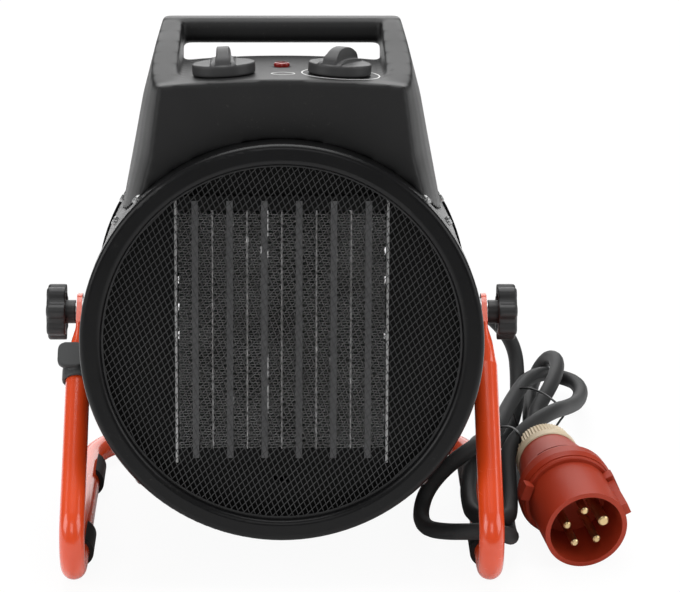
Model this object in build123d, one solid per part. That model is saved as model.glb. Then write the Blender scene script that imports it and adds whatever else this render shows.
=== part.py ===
from build123d import *
import math
import os

# Forced air heater: a round steel drum on a bent tube stand, free to tilt between two clamp knobs.
# The drum's pieces are drawn with the drum's axis along Y, front at -Y, and the tilt axis at zero.
# The whole object is then stood on Z = 0 with the origin under the middle of its outer box.

# ---- driving sizes, in millimetres and degrees ----
tilt_at_rest = 9.0
pivot_height = 146.0
axis_drop = 2.0

drum_radius = 127.0
drum_sheet = 1.2
drum_front = -92.0
drum_rear = 91.0
loose_gap = 0.3
running_gap = 0.05

ring_sheet = 1.2
ring_face = -99.0
ring_face_width = 12.4
ring_skirt_end = -75.0
ring_lip_depth = 6.0
ring_edge_radius = 3.2

strand_width = 0.8
strand_thickness = 0.5
rising_strand_spacing = 3.7
falling_strand_spacing = 3.2
rising_strand_angle = 45.0
falling_strand_angle = -69.0
mesh_rim_width = 9.0

baffle_place = -80.0
baffle_sheet = 1.0
baffle_flange = 12.0
slot_width = 11.0
slot_height = 4.0
slot_drop = 92.0

element_width = 136.0
element_height = 173.0
element_raise = 7.0
element_front = -86.0
element_depth = 18.0
bar_pitch = 22.0
bar_count = 6
bar_thickness = 4.0
fin_divider_thickness = 0.8
fin_thickness = 0.7
fin_folds = 17
end_block_height = 9.0
side_rail_thickness = 1.5

shroud_place = -9.5
shroud_sheet = 1.2
shroud_collar_radius = 99.0
shroud_collar_length = 30.0
shroud_flange = 14.0
motor_arm_width = 16.0
motor_arm_count = 3
motor_radius = 29.0
motor_length = 42.0
motor_seat_radius = 34.0
motor_boss_radius = 7.5
motor_boss_length = 3.0
motor_shaft_radius = 4.0
fan_tip_radius = 95.0
fan_hub_radius = 17.0
fan_hub_length = 18.0
fan_blade_count = 5
fan_blade_thickness = 1.6
fan_arm_gap = 2.5

rear_plate_place = 74.0
rear_sheet = 1.2
rear_bead_proud = 1.7
rear_bead_end = 94.0
rear_slot_rings = 3
rear_slot_step = 8
rear_slot_width = 5.0
rear_slot_length = 20.0
rear_slot_first_radius = 26.0
rear_slot_ring_step = 25.0

screw_head_radius = 3.15
screw_head_height = 2.5
screw_shank_radius = 1.75
screw_length = 9.0
ring_screw_place = -85.0
side_screw_angle = 31.0
side_screw_middle = -15.0
side_screw_rear = 80.0

housing_front = -75.0
housing_rear = 88.0
front_knee_height = 113.0
front_knee_half_width = 83.7
front_slope_below_knee = 0.28
front_slope_above_knee = 0.13
rear_knee_height = 143.0
rear_knee_half_width = 93.0
rear_slope_below_knee = 0.19
rear_slope_above_knee = 0.267
housing_flare_length = 33.0
housing_wall = 2.5
deck_height = 164.1
deck_slope = 1.2
deck_rear = 47.0
deck_crown_radius = 700.0
low_deck_drop = 22.1
arm_inner_half_width = 67.0
arm_ramp_start = -60.0
arm_ramp_end = 60.0
handle_rise = 24.4
handle_bar_depth = 16.0
handle_bar_crown = 1.3
handle_front = 62.0
handle_bar_edge = 6.0

knob_offset = 37.0
knob_place = -41.0
knob_radius = 20.5
knob_base_height = 7.5
knob_grip_height = 10.0
knob_grip_thickness = 8.0
knob_grip_foot = 14.0
knob_skirt_wall = 2.2
thermostat_pointer = 0.0
selector_pointer = -45.0
control_shaft_radius = 3.0
control_bush_radius = 5.0
control_nut_height = 2.0
control_body_width = 28.0
control_body_length = 32.0
control_body_height = 20.0

lamp_place = -10.0
lamp_radius = 4.5
lamp_rise = 2.4
lamp_body_length = 16.0

stud_radius = 4.0
stud_reach_inside = 19.0
weld_nut_radius = 7.5
weld_nut_length = 10.0
spacer_radius = 9.0
clamp_plate_gap = 5.5
clamp_plate_thickness = 3.5
washer_radius = 7.25
washer_thickness = 1.0
star_stem_radius = 7.85
star_stem_length = 6.5
star_head_thickness = 12.5
star_head_radius = 19.0
star_lobe_radius = 5.0
star_lobe_count = 7
star_hollow_depth = 7.0

tube_radius = 8.1
tube_wall = 1.5
tube_line_gap = 7.0
leg_lean = 51.0
front_bend_radius = 21.5
rear_bend_radius = 42.0
crossbar_place = 103.0
clamp_plate_half_width = 12.5
flat_length = 15.0
flat_taper_end = 42.0

foot_wall = 3.0
foot_length = 28.0
foot_mouth = 11.0
foot_pad_width = 13.0
front_foot_place = -74.0
rear_foot_place = 38.0

hook_place = 49.0
hook_length = 9.0
hook_band_wall = 2.4
hook_mouth_place = 6.0
hook_tongue_reach = 17.0
hook_tongue_length = 18.0
hook_tongue_shift = 4.5
hook_tongue_thickness = 3.75

gland_offset = 108.0
gland_raise = -12.0
gland_flange_radius = 11.0
gland_thread_radius = 8.0
gland_end = 105.0

cord_diameter = 11.0
hank_height = 40.0

plug_mouth_x = 198.5
plug_mouth_y = -89.3
plug_yaw = 10.4
plug_pitch = 6.0
plug_shroud_radius = 27.5
plug_shroud_wall = 3.2
plug_collar_radius = 30.4
plug_collar_place = 42.0
plug_collar_thickness = 3.0
plug_skirt_radius = 32.2
plug_body_end = 93.0
plug_body_radius = 27.0
plug_nut_length = 26.0
plug_nut_radius = 21.6
plug_nut_rib_count = 20
plug_pin_circle_radius = 12.6
plug_pin_radius = 2.5
plug_earth_radius = 3.5
plug_pin_recess = 2.2
plug_earth_recess = 0.5
plug_earth_turn = 66.4
plug_key_turn = 65.0
plug_key_width = 8.0
plug_key_height = 4.0
plug_latch_turn = -74.0

# ---- worked-out sizes ----
inner_drum_radius = drum_radius - drum_sheet
ring_opening_radius = drum_radius - ring_face_width
rear_bead_radius = drum_radius + rear_bead_proud
stud_inner_end = drum_radius - stud_reach_inside
clamp_plate_inner = drum_radius + clamp_plate_gap
tube_line = drum_radius + tube_line_gap
low_deck_height = deck_height - low_deck_drop
handle_top = deck_height + handle_rise
handle_underside = handle_top - handle_bar_depth
ring_inner_radius = drum_radius + loose_gap
ring_radius = ring_inner_radius + ring_sheet
fit_radius = inner_drum_radius - loose_gap
drum_axis = Axis((0, 0, -axis_drop), (0, 1, 0))
fan_place = shroud_place + shroud_collar_length - fan_arm_gap - fan_hub_length
motor_place = shroud_place + shroud_collar_length + shroud_sheet
weld_nut_end = math.sqrt(inner_drum_radius ** 2 - (weld_nut_radius + axis_drop) ** 2)
clamp_plate_outer = clamp_plate_inner + clamp_plate_thickness
washer_outer = clamp_plate_outer + washer_thickness
star_stem_end = washer_outer + star_stem_length
runner_height = tube_radius + foot_wall
cord_radius = cord_diameter / 2


# ---- helpers ----
def drum_turned(section):
    """Turns a section, drawn as (place along the drum, radius), about the drum's axis."""
    return revolve(Plane.YZ * Pos(0, -axis_drop) * section, drum_axis)


def sheet_section(points, thickness, radii):
    """A bent sheet's section along a line through the middle of the sheet."""
    return trace(FilletPolyline(points, radius=radii), thickness)


def bored_rod_y(outer_radius, inner_radius, start, end):
    """A tube along Y."""
    rod = Cylinder(outer_radius, end - start)
    if inner_radius > 0:
        rod = rod - Cylinder(inner_radius, end - start)
    return Pos(0, (start + end) / 2, 0) * Rot(90, 0, 0) * rod


def bored_rod_x(outer_radius, inner_radius, start, end):
    """A tube along X."""
    rod = Cylinder(outer_radius, end - start)
    if inner_radius > 0:
        rod = rod - Cylinder(inner_radius, end - start)
    return Pos((start + end) / 2, 0, 0) * Rot(0, 90, 0) * rod


def around_drum(angle, radius, place):
    """A place on a circle round the drum's axis, with local Z pointing outwards; 0 degrees is +X."""
    return Pos(0, place, -axis_drop) * Rot(0, 90 - angle, 0) * Pos(0, 0, radius)


def mirrored(shape):
    return mirror(shape, Plane.YZ)


def together(shapes):
    """Several separate solids kept as one node."""
    return Compound([solid for shape in shapes for solid in shape.solids()])


def both_sides(shape):
    return together([shape, mirrored(shape)])


# ---- drum ----
def ring_screw_angles():
    return [45 + 90 * corner for corner in range(4)]


def screw_holes(places, radius):
    """Radial drillings through the drum's wall and what lies close to it."""
    return [place * Cylinder(radius, 30) for place in places]


def ring_screw_places():
    return [around_drum(angle, ring_radius, ring_screw_place) for angle in ring_screw_angles()]


def side_screw_places(place, radius):
    return [around_drum(angle, radius, place) for angle in (side_screw_angle, 180 - side_screw_angle)]


def front_ring():
    middle_radius = ring_radius - ring_sheet / 2
    lip_radius = ring_opening_radius + ring_sheet / 2
    face = ring_face + ring_sheet / 2
    section = sheet_section(
        [
            (ring_skirt_end, middle_radius),
            (face, middle_radius),
            (face, lip_radius),
            (face + ring_lip_depth, lip_radius),
        ],
        ring_sheet,
        ring_edge_radius,
    )
    ring = drum_turned(section)
    return ring - screw_holes(ring_screw_places(), screw_shank_radius + running_gap)


def mesh_layer(spacing, angle):
    """One layer of parallel strands, all joined at their ends to a flat rim."""
    window_radius = ring_opening_radius - 1.0
    opening = spacing - strand_width
    count = math.ceil(window_radius / spacing) + 1
    slot = Rectangle(3 * window_radius, opening)
    slots = [Pos(0, row * spacing) * slot for row in range(-count, count + 1)]
    slots = Sketch() + slots
    openings = Circle(window_radius) & (Rot(0, 0, angle) * slots)
    return extrude(Circle(window_radius + mesh_rim_width) - openings, strand_thickness)


def front_mesh():
    lip_end = ring_face + ring_sheet / 2 + ring_lip_depth
    front = mesh_layer(rising_strand_spacing, rising_strand_angle)
    back = mesh_layer(falling_strand_spacing, falling_strand_angle)
    layers = [front, Pos(0, 0, -strand_thickness) * back]
    seat = Pos(0, lip_end + strand_thickness, -axis_drop) * Rot(90, 0, 0)
    return together([seat * layer for layer in layers])


def drum_shell():
    shell = drum_turned(
        Pos((drum_front + drum_rear) / 2, drum_radius - drum_sheet / 2)
        * Rectangle(drum_rear - drum_front, drum_sheet)
    )
    shell = shell - screw_holes(ring_screw_places(), screw_shank_radius + running_gap)
    for place in (side_screw_middle, side_screw_rear):
        shell = shell - screw_holes(side_screw_places(place, drum_radius), screw_shank_radius + running_gap)
    shell = shell - bored_rod_x(stud_radius + loose_gap, 0, -drum_radius - 5, drum_radius + 5)
    wire_hole = Pos(0, knob_place, drum_radius) * Cylinder(14, 30)
    return shell - wire_hole


def baffle_plate():
    flange_radius = fit_radius - baffle_sheet / 2
    back = baffle_place + baffle_sheet / 2
    section = sheet_section(
        [(back, 30.0), (back, flange_radius), (back + baffle_flange, flange_radius)],
        baffle_sheet,
        2.0,
    )
    plate = drum_turned(section)
    disc = Pos(0, back, -axis_drop) * Rot(90, 0, 0) * Cylinder(31, baffle_sheet)
    plate = plate + disc
    window = Box(element_width + 2 * loose_gap, 20, element_height + 2 * loose_gap)
    plate = plate - Pos(0, back, element_raise - axis_drop) * window
    slot = Pos(0, back, -axis_drop - slot_drop) * Box(slot_width, 20, slot_height)
    return plate - slot


# ---- heating element ----
def element_seated(shape):
    return Pos(0, element_front, element_raise - axis_drop) * shape


def fin_space():
    """Width that a corrugated strip fills between a bar and the thin divider beside it."""
    return (bar_pitch - bar_thickness - fin_divider_thickness) / 2


def fin_height():
    return element_height - 2 * end_block_height


def heater_bars():
    bar = Pos(0, element_depth / 2, 0) * Box(bar_thickness, element_depth, element_height - 2 * 3.0)
    first = -bar_pitch * (bar_count - 1) / 2
    return together([element_seated(Pos(first + bar_pitch * n, 0, 0) * bar) for n in range(bar_count)])


def fin_dividers():
    divider = Pos(0, element_depth / 2, 0) * Box(fin_divider_thickness, element_depth - 1, fin_height())
    first = -bar_pitch * bar_count / 2
    places = [first + bar_pitch * n for n in range(1, bar_count)]
    return together([element_seated(Pos(x, 0, 0) * divider) for x in places])


def fin_strip():
    """A strip of sheet folded to and fro across the space beside a bar."""
    half = fin_space() / 2 - fin_thickness / 2
    step = (fin_height() - 3 * fin_thickness) / (fin_folds + 0.16)
    start = -(step * fin_folds) / 2
    line = []
    for fold in range(fin_folds + 1):
        side = half if fold % 2 else -half
        height = start + fold * step
        line.append((side, height - step * 0.08))
        line.append((side, height + step * 0.08))
    section = trace(Polyline(*line), fin_thickness)
    return Pos(0, element_depth - 1.5, 0) * extrude(Plane.XZ * section, element_depth - 3)


def fin_strips():
    strip = fin_strip()
    side = (bar_thickness + fin_space()) / 2
    first = -bar_pitch * (bar_count - 1) / 2
    strips = []
    for bar in range(bar_count):
        for turn in (-1, 1):
            strips.append(element_seated(Pos(first + bar_pitch * bar + turn * side, 0, 0) * strip))
    return together(strips)


def element_end_blocks():
    """Moulded blocks that hold the ends of the bars, above and below."""
    block = Box(element_width - 2 * side_rail_thickness, element_depth, end_block_height)
    first = -bar_pitch * (bar_count - 1) / 2
    slots = [
        Pos(first + bar_pitch * n, 0, -3.0)
        * Box(bar_thickness + 2 * running_gap, element_depth, end_block_height)
        for n in range(bar_count)
    ]
    block = block - slots
    upper = Pos(0, element_depth / 2, (element_height - end_block_height) / 2) * block
    return together([element_seated(upper), element_seated(mirror(upper, Plane.XY))])


def element_side_rails():
    rail = Box(side_rail_thickness, element_depth, element_height)
    lug_seat = baffle_place + baffle_sheet - element_front
    lug = Pos(7, lug_seat + side_rail_thickness / 2, 0) * Box(14, side_rail_thickness, 30)
    rail = Pos(0, element_depth / 2, 0) * rail
    right = Pos((element_width - side_rail_thickness) / 2, 0, 0) * (rail + lug)
    return both_sides(element_seated(right))


def element_terminals():
    tab = Box(0.8, 12, 6.3)
    first = -bar_pitch * (bar_count - 1) / 2
    places = [first + bar_pitch * n for n in range(bar_count)]
    height = element_height / 2 - 15
    return together([element_seated(Pos(x, element_depth + 6, height) * tab) for x in places])


def thermal_cutout():
    body = bored_rod_y(8, 0, 0, 7)
    cap = bored_rod_y(5, 0, 7, 11)
    tabs = Pos(0, 14, 4) * Box(6.3, 8, 0.8) + Pos(0, 14, -4) * Box(6.3, 8, 0.8)
    place = Pos(96, baffle_place + baffle_sheet, 30)
    return place * (body + cap + Pos(0, -1.5, 0) * tabs)


# ---- fan ----
def fan_shroud():
    flange_radius = fit_radius - shroud_sheet / 2
    middle = shroud_place + shroud_sheet / 2
    collar_middle = shroud_collar_radius + shroud_sheet / 2
    collar_end = shroud_place + shroud_collar_length
    section = sheet_section(
        [
            (middle - shroud_flange, flange_radius),
            (middle, flange_radius),
            (middle, collar_middle),
            (collar_end, collar_middle),
        ],
        shroud_sheet,
        3.0,
    )
    return drum_turned(section) - screw_holes(
        side_screw_places(side_screw_middle, drum_radius), screw_shank_radius + running_gap
    )


def motor_bracket():
    """Flat three-armed spider across the rear of the collar; the motor sits on its disc."""
    reach = shroud_collar_radius + shroud_sheet
    outline = Circle(motor_seat_radius)
    for arm in range(motor_arm_count):
        strip = Pos(reach / 2, 0) * Rectangle(reach, motor_arm_width)
        outline = outline + Rot(0, 0, 90 + 360 / motor_arm_count * arm) * strip
    outline = outline - Circle(motor_boss_radius + loose_gap)
    plate = extrude(outline, shroud_sheet)
    return Pos(0, motor_place, -axis_drop) * Rot(90, 0, 0) * plate


def fan_motor():
    can = fillet(Cylinder(motor_radius, motor_length).edges(), 3)
    boss = Pos(0, 0, -(motor_length + motor_boss_length) / 2) * Cylinder(motor_boss_radius, motor_boss_length)
    motor = Pos(0, 0, motor_length / 2) * (can + boss)
    bore_length = motor_length + motor_boss_length
    motor = motor - Pos(0, 0, motor_length / 2 - 4) * Cylinder(motor_shaft_radius + running_gap, bore_length)
    motor = motor + Pos(0, 0, motor_length) * Cylinder(motor_boss_radius, 3)
    return Pos(0, motor_place, -axis_drop) * Rot(-90, 0, 0) * motor


def motor_shaft():
    front = fan_place - 3
    rear = motor_place + motor_length - 4
    return Pos(0, 0, -axis_drop) * bored_rod_y(motor_shaft_radius, 0, front, rear)


def fan_impeller():
    """Axial impeller: a hub with twisted blades."""
    hub = Cylinder(fan_hub_radius, fan_hub_length)
    hub = hub - Cylinder(motor_shaft_radius + running_gap, fan_hub_length)
    root = Plane(origin=(fan_hub_radius - 3, 0, 0), x_dir=(0, 1, 0), z_dir=(1, 0, 0))
    tip = Plane(origin=(fan_tip_radius, 0, 0), x_dir=(0, 1, 0), z_dir=(1, 0, 0))
    root_section = root * Rot(0, 0, 52) * Rectangle(18, fan_blade_thickness)
    tip_section = tip * Rot(0, 0, 20) * Rectangle(44, fan_blade_thickness)
    blade = loft([root_section, tip_section])
    impeller = hub
    for number in range(fan_blade_count):
        impeller = impeller + Rot(0, 0, 360 / fan_blade_count * number) * blade
    middle = fan_place + fan_hub_length / 2
    return Pos(0, middle, -axis_drop) * Rot(90, 0, 0) * impeller


# ---- rear ----
def rear_grille():
    """Pressed rear cover: a slotted plate, a skirt inside the drum and a bead rolled over its end."""
    skirt_radius = fit_radius - rear_sheet / 2
    plate = rear_plate_place + rear_sheet / 2
    lip = rear_bead_end - rear_sheet / 2
    section = sheet_section(
        [
            (plate, 8.0),
            (plate, skirt_radius),
            (lip, skirt_radius),
            (lip, rear_bead_radius - rear_sheet / 2),
            (lip - 3.5, rear_bead_radius - rear_sheet / 2),
        ],
        rear_sheet,
        [1.5, 1.2, 0.9],
    )
    cover = drum_turned(section)
    cover = cover + Pos(0, plate, -axis_drop) * Rot(90, 0, 0) * Cylinder(9, rear_sheet)
    slots = []
    for ring in range(rear_slot_rings):
        radius = rear_slot_first_radius + ring * rear_slot_ring_step
        count = rear_slot_step * (ring + 1)
        for number in range(count):
            turn = Pos(0, plate, -axis_drop) * Rot(0, 360 / count * (number + 0.5), 0)
            slots.append(turn * Pos(radius, 0, 0) * Box(rear_slot_length, 10, rear_slot_width))
    cover = cover - slots
    cover = cover - Pos(gland_offset, plate, gland_raise) * bored_rod_y(gland_thread_radius + 0.2, 0, -5, 5)
    places = side_screw_places(side_screw_rear, drum_radius)
    return cover - screw_holes(places, screw_shank_radius + running_gap)


def terminal_block():
    block = Box(34, 15, 15) - [Pos(x, 0, 5) * Box(4.5, 8, 8) for x in (-12, -6, 0, 6, 12)]
    seat = shroud_place + shroud_sheet
    return Pos(0, seat + 7.5, -axis_drop + (shroud_collar_radius + fit_radius) / 2) * block


def cable_gland():
    """Gland body through the rear cover: hexagon outside, thread inside."""
    outside = rear_plate_place + rear_sheet
    hexagon = extrude(RegularPolygon(gland_flange_radius, 6), 5)
    hexagon = Pos(0, outside + 5, 0) * Rot(90, 0, 0) * hexagon
    thread = bored_rod_y(gland_thread_radius, 0, rear_plate_place - 9, gland_end - 4)
    body = hexagon + thread
    bore = bored_rod_y(cord_radius + loose_gap, 0, rear_plate_place - 20, gland_end + 10)
    return Pos(gland_offset, 0, gland_raise) * (body - bore)


def gland_locknut():
    nut = extrude(RegularPolygon(gland_flange_radius, 6) - Circle(gland_thread_radius + running_gap), 5)
    return Pos(gland_offset, rear_plate_place, gland_raise) * Rot(90, 0, 0) * nut


def gland_nut():
    """Domed nut with a rounded mouth round the cord."""
    start = rear_plate_place + rear_sheet + 5
    nut = bored_rod_y(gland_flange_radius - 0.5, 0, start, gland_end)
    nut = chamfer(nut.edges().group_by(Axis.Y)[-1], 2.0)
    nut = nut - bored_rod_y(gland_thread_radius + running_gap, 0, start - 1, gland_end - 4)
    nut = nut - bored_rod_y(cord_radius + loose_gap, 0, start, gland_end + 1)
    return Pos(gland_offset, 0, gland_raise) * nut


# ---- fastenings ----
def pan_screw(length):
    """Pan head on +Z above zero, shank below, with a crossed recess."""
    head = Pos(0, 0, screw_head_height / 2) * Cylinder(screw_head_radius, screw_head_height)
    head = chamfer(head.edges().group_by(Axis.Z)[-1], 0.9)
    slot = Box(3.8, 0.8, 1.6)
    head = head - Pos(0, 0, screw_head_height) * slot
    head = head - Pos(0, 0, screw_head_height) * Rot(0, 0, 90) * slot
    return head + Pos(0, 0, -length / 2) * Cylinder(screw_shank_radius, length)


def ring_screws():
    return together([place * pan_screw(screw_length) for place in ring_screw_places()])


def side_screws():
    places = side_screw_places(side_screw_middle, drum_radius)
    places = places + side_screw_places(side_screw_rear, drum_radius)
    return together([place * pan_screw(screw_length) for place in places])


# ---- top housing ----
def flare(place):
    """Share of the front's narrower width that is left at a place along the drum."""
    return math.exp(-(place - housing_front) / housing_flare_length)


def side_reach(height, knee_height, knee_half_width, slope_below, slope_above):
    """Half width of a side that leans in upwards and changes its lean at a knee."""
    slope = slope_below if height < knee_height else slope_above
    return knee_half_width + (knee_height - height) * slope


def housing_half_width(place, height):
    front = side_reach(
        height, front_knee_height, front_knee_half_width, front_slope_below_knee, front_slope_above_knee
    )
    rear = side_reach(
        height, rear_knee_height, rear_knee_half_width, rear_slope_below_knee, rear_slope_above_knee
    )
    return rear + (front - rear) * flare(place)


def housing_loft(inset, low, high, front, rear):
    """Tall block between two heights with the housing's leaning, flaring sides."""
    sections = []
    heights = (low, front_knee_height, rear_knee_height, high)
    for step in (0.0, 0.05, 0.12, 0.22, 0.4, 0.65, 1.0):
        place = front + (rear - front) * step
        right = [(housing_half_width(place, height) - inset, height) for height in heights]
        left = [(-reach, height) for reach, height in reversed(right)]
        plane = Plane(origin=(0, place, 0), x_dir=(1, 0, 0), z_dir=(0, -1, 0))
        sections.append(plane * make_face(Polyline(*right, *left, close=True)))
    return loft(sections, ruled=True)


def deck_crown(extra):
    """Wide barrel whose top is the crowned deck, rising a little to the rear."""
    barrel = Cylinder(deck_crown_radius - extra, 400)
    barrel = Pos(0, 0, deck_height - deck_crown_radius) * Rot(90, 0, 0) * barrel
    rise = Pos(0, housing_front, deck_height) * Rot(deck_slope, 0, 0) * Pos(0, -housing_front, -deck_height)
    return rise * barrel


def side_prism(points, half_width):
    """A side profile, drawn as (place along the drum, height), drawn out across the width."""
    return extrude(Plane.YZ * make_face(Polyline(*points, close=True)), half_width, both=True)


def rounded_prism(points, radii, half_width):
    line = FilletPolyline(points, radius=radii, close=True)
    return extrude(Plane.YZ * make_face(line), half_width, both=True)


def housing_arm_profile():
    ramp_base = deck_height - 3.5
    return rounded_prism(
        [
            (housing_front + 5, 60),
            (housing_front + 5, ramp_base - 8),
            (arm_ramp_start, ramp_base),
            (arm_ramp_end, handle_top - 0.5),
            (handle_front + 12, handle_top + 1.5),
            (housing_rear, handle_top - 4),
            (housing_rear, 60),
        ],
        [1.0, 3.0, 14.0, 20.0, 8.0, 7.0, 1.0],
        130,
    )


def handle_bar_profile():
    return rounded_prism(
        [
            (handle_front, handle_underside),
            (handle_front, handle_top + handle_bar_crown),
            (housing_rear, handle_top + handle_bar_crown),
            (housing_rear, handle_underside),
        ],
        handle_bar_edge,
        130,
    )


def top_housing():
    tall = housing_loft(0, 55, handle_top + 6, housing_front, housing_rear)
    deck_part = tall & side_prism(
        [(housing_front, 50), (housing_front, handle_top), (deck_rear, handle_top), (deck_rear, 50)], 130
    )
    deck_part = deck_part & deck_crown(0)
    low_part = tall & side_prism(
        [
            (deck_rear - 12, 50),
            (deck_rear - 12, low_deck_height),
            (housing_rear, low_deck_height - 6),
            (housing_rear, 50),
        ],
        130,
    )
    arms = tall & housing_arm_profile()
    arms = arms - Box(2 * arm_inner_half_width, 400, 500)
    bar = tall & handle_bar_profile()
    housing = deck_part + low_part + arms + bar
    housing = housing - housing_cavity()
    seat = Pos(0, 0, -axis_drop) * bored_rod_y(drum_radius + loose_gap, 0, -200, 200)
    housing = housing - seat
    for side in (-1, 1):
        housing = housing - control_axis(side) * Cylinder(control_bush_radius + running_gap, 20)
    housing = housing - lamp_axis() * Cylinder(lamp_radius + running_gap, 20)
    return housing


def housing_cavity():
    inner = housing_loft(
        housing_wall, 50, deck_height, housing_front + housing_wall, deck_rear - housing_wall
    )
    return inner & deck_crown(housing_wall + 0.5)


def deck_angle_at(offset):
    return math.degrees(math.asin(offset / deck_crown_radius))


def on_deck(offset, place):
    """A place on the crowned deck, with local Z square to the surface."""
    rise = Pos(0, housing_front, deck_height) * Rot(deck_slope, 0, 0) * Pos(0, -housing_front, -deck_height)
    turn = Pos(0, 0, deck_height - deck_crown_radius) * Rot(0, deck_angle_at(offset), 0)
    return rise * Pos(0, place, 0) * turn * Pos(0, 0, deck_crown_radius)


def control_axis(side):
    return on_deck(side * knob_offset, knob_place)


def lamp_axis():
    return on_deck(0, lamp_place)


# ---- controls ----
def control_knob(pointer):
    base = Pos(0, 0, knob_base_height / 2) * Cylinder(knob_radius, knob_base_height)
    base = chamfer(base.edges().group_by(Axis.Z)[-1], 1.6)
    hollow = Pos(0, 0, (knob_base_height - knob_skirt_wall) / 2) * Cylinder(
        knob_radius - knob_skirt_wall, knob_base_height - knob_skirt_wall
    )
    stem = Pos(0, 0, (knob_base_height + control_nut_height + 1) / 2) * Cylinder(
        6.0, knob_base_height - control_nut_height - 1
    )
    blade_length = 2 * knob_radius - 2
    foot = Rectangle(knob_grip_foot, blade_length)
    crest = Pos(0, 0, knob_grip_height) * Rectangle(knob_grip_thickness, blade_length)
    blade = loft([foot, crest])
    arc_centre = knob_base_height + knob_grip_height - 46
    trim = Pos(0, 0, arc_centre) * Rot(0, 90, 0) * Cylinder(46, 60)
    blade = Pos(0, 0, knob_base_height - 0.3) * blade
    blade = blade & trim
    blade = blade & Cylinder(knob_radius - 1, 100)
    knob = base - hollow + stem + blade
    shaft_bore = Pos(0, 0, 3) * Cylinder(control_shaft_radius + running_gap, 14)
    knob = knob - shaft_bore
    return Pos(0, 0, loose_gap) * Rot(0, 0, pointer) * knob


def control_shaft():
    length = control_body_height - 4 + 10
    return Pos(0, 0, 9.8 - length / 2) * Cylinder(control_shaft_radius, length)


def control_body(side_terminals):
    """Switch case under the deck with its threaded bush through the deck."""
    under_deck = -(housing_wall + 0.5) - loose_gap
    case = Box(control_body_width, control_body_length, control_body_height)
    case = Pos(0, 0, under_deck - control_body_height / 2) * case
    bush = Pos(0, 0, (under_deck + control_nut_height) / 2) * Cylinder(
        control_bush_radius, control_nut_height - under_deck
    )
    body = case + bush
    for place in side_terminals:
        tab = Pos(place, 0, under_deck - control_body_height - 2.5) * Box(0.8, 6.3, 7)
        body = body + tab
    bore_top = control_nut_height + 1
    bore_length = control_body_height + 1 - under_deck
    bore = Pos(0, 0, bore_top - bore_length / 2) * Cylinder(control_shaft_radius + running_gap, bore_length)
    return body - bore


def indicator_lamp():
    dome = Pos(0, 0, lamp_rise / 2 + running_gap) * Cylinder(lamp_radius + 0.8, lamp_rise)
    dome = fillet(dome.edges().group_by(Axis.Z)[-1], lamp_rise * 0.6)
    body = Pos(0, 0, -lamp_body_length / 2 + 0.5) * Cylinder(lamp_radius, lamp_body_length + 1)
    return lamp_axis() * (dome + body)


# ---- tilt clamps ----
def weld_nuts():
    nut = extrude(RegularPolygon(weld_nut_radius, 6) - Circle(stud_radius + running_gap), weld_nut_length)
    return both_sides(Pos(weld_nut_end - weld_nut_length, 0, 0) * Rot(0, 90, 0) * nut)


def pivot_spacers():
    start = drum_radius
    return both_sides(bored_rod_x(spacer_radius, stud_radius + running_gap, start, clamp_plate_inner))


def clamp_washers():
    return both_sides(bored_rod_x(washer_radius, stud_radius + running_gap, clamp_plate_outer, washer_outer))


def clamp_stud():
    return bored_rod_x(stud_radius, 0, stud_inner_end, star_stem_end + 7)


def star_knob():
    outline = Circle(star_head_radius - star_lobe_radius + 1.5)
    for lobe in range(star_lobe_count):
        turn = Rot(0, 0, 360 / star_lobe_count * lobe)
        outline = outline + turn * Pos(star_head_radius - star_lobe_radius, 0) * Circle(star_lobe_radius)
    head = extrude(outline, star_head_thickness)
    head = chamfer(head.edges().group_by(Axis.Z)[-1], 1.2)
    hollow_radius = star_head_radius - star_lobe_radius - 1.5
    hollow = Circle(hollow_radius) - Circle(star_stem_radius)
    head = head - extrude(hollow, star_hollow_depth)
    stem = Pos(0, 0, -star_stem_length / 2) * Cylinder(star_stem_radius, star_stem_length)
    knob = head + stem
    bore_depth = star_stem_length + 7
    bore = Pos(0, 0, 7 - bore_depth / 2) * Cylinder(stud_radius, bore_depth)
    return Pos(star_stem_end, 0, 0) * Rot(0, 90, 0) * (knob - bore)


# ---- stand ----
def leg_point(distance, rise):
    """A place beside the leg: distance down from the tilt axis, rise square to it, forwards."""
    lean = math.radians(leg_lean)
    return (
        -distance * math.sin(lean) - rise * math.cos(lean),
        -distance * math.cos(lean) + rise * math.sin(lean),
    )


def leg_corner():
    length = (pivot_height - runner_height) / math.cos(math.radians(leg_lean))
    return leg_point(length, 0)


def stand_path():
    start = leg_point(flat_taper_end, 0)
    corner = leg_corner()
    floor_line = corner[1]
    half = [
        (tube_line, start[0], start[1]),
        (tube_line, corner[0], floor_line),
        (tube_line, crossbar_place, floor_line),
    ]
    other = [(-x, y, z) for x, y, z in reversed(half)]
    return FilletPolyline(
        half + other,
        radius=[front_bend_radius, rear_bend_radius, rear_bend_radius, front_bend_radius],
    )


def leg_plane(distance):
    """Plane square to the right leg; its X runs across the object."""
    lean = math.radians(leg_lean)
    y, z = leg_point(distance, 0)
    return Plane(origin=(tube_line, y, z), x_dir=(1, 0, 0), z_dir=(0, -math.sin(lean), -math.cos(lean)))


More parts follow.
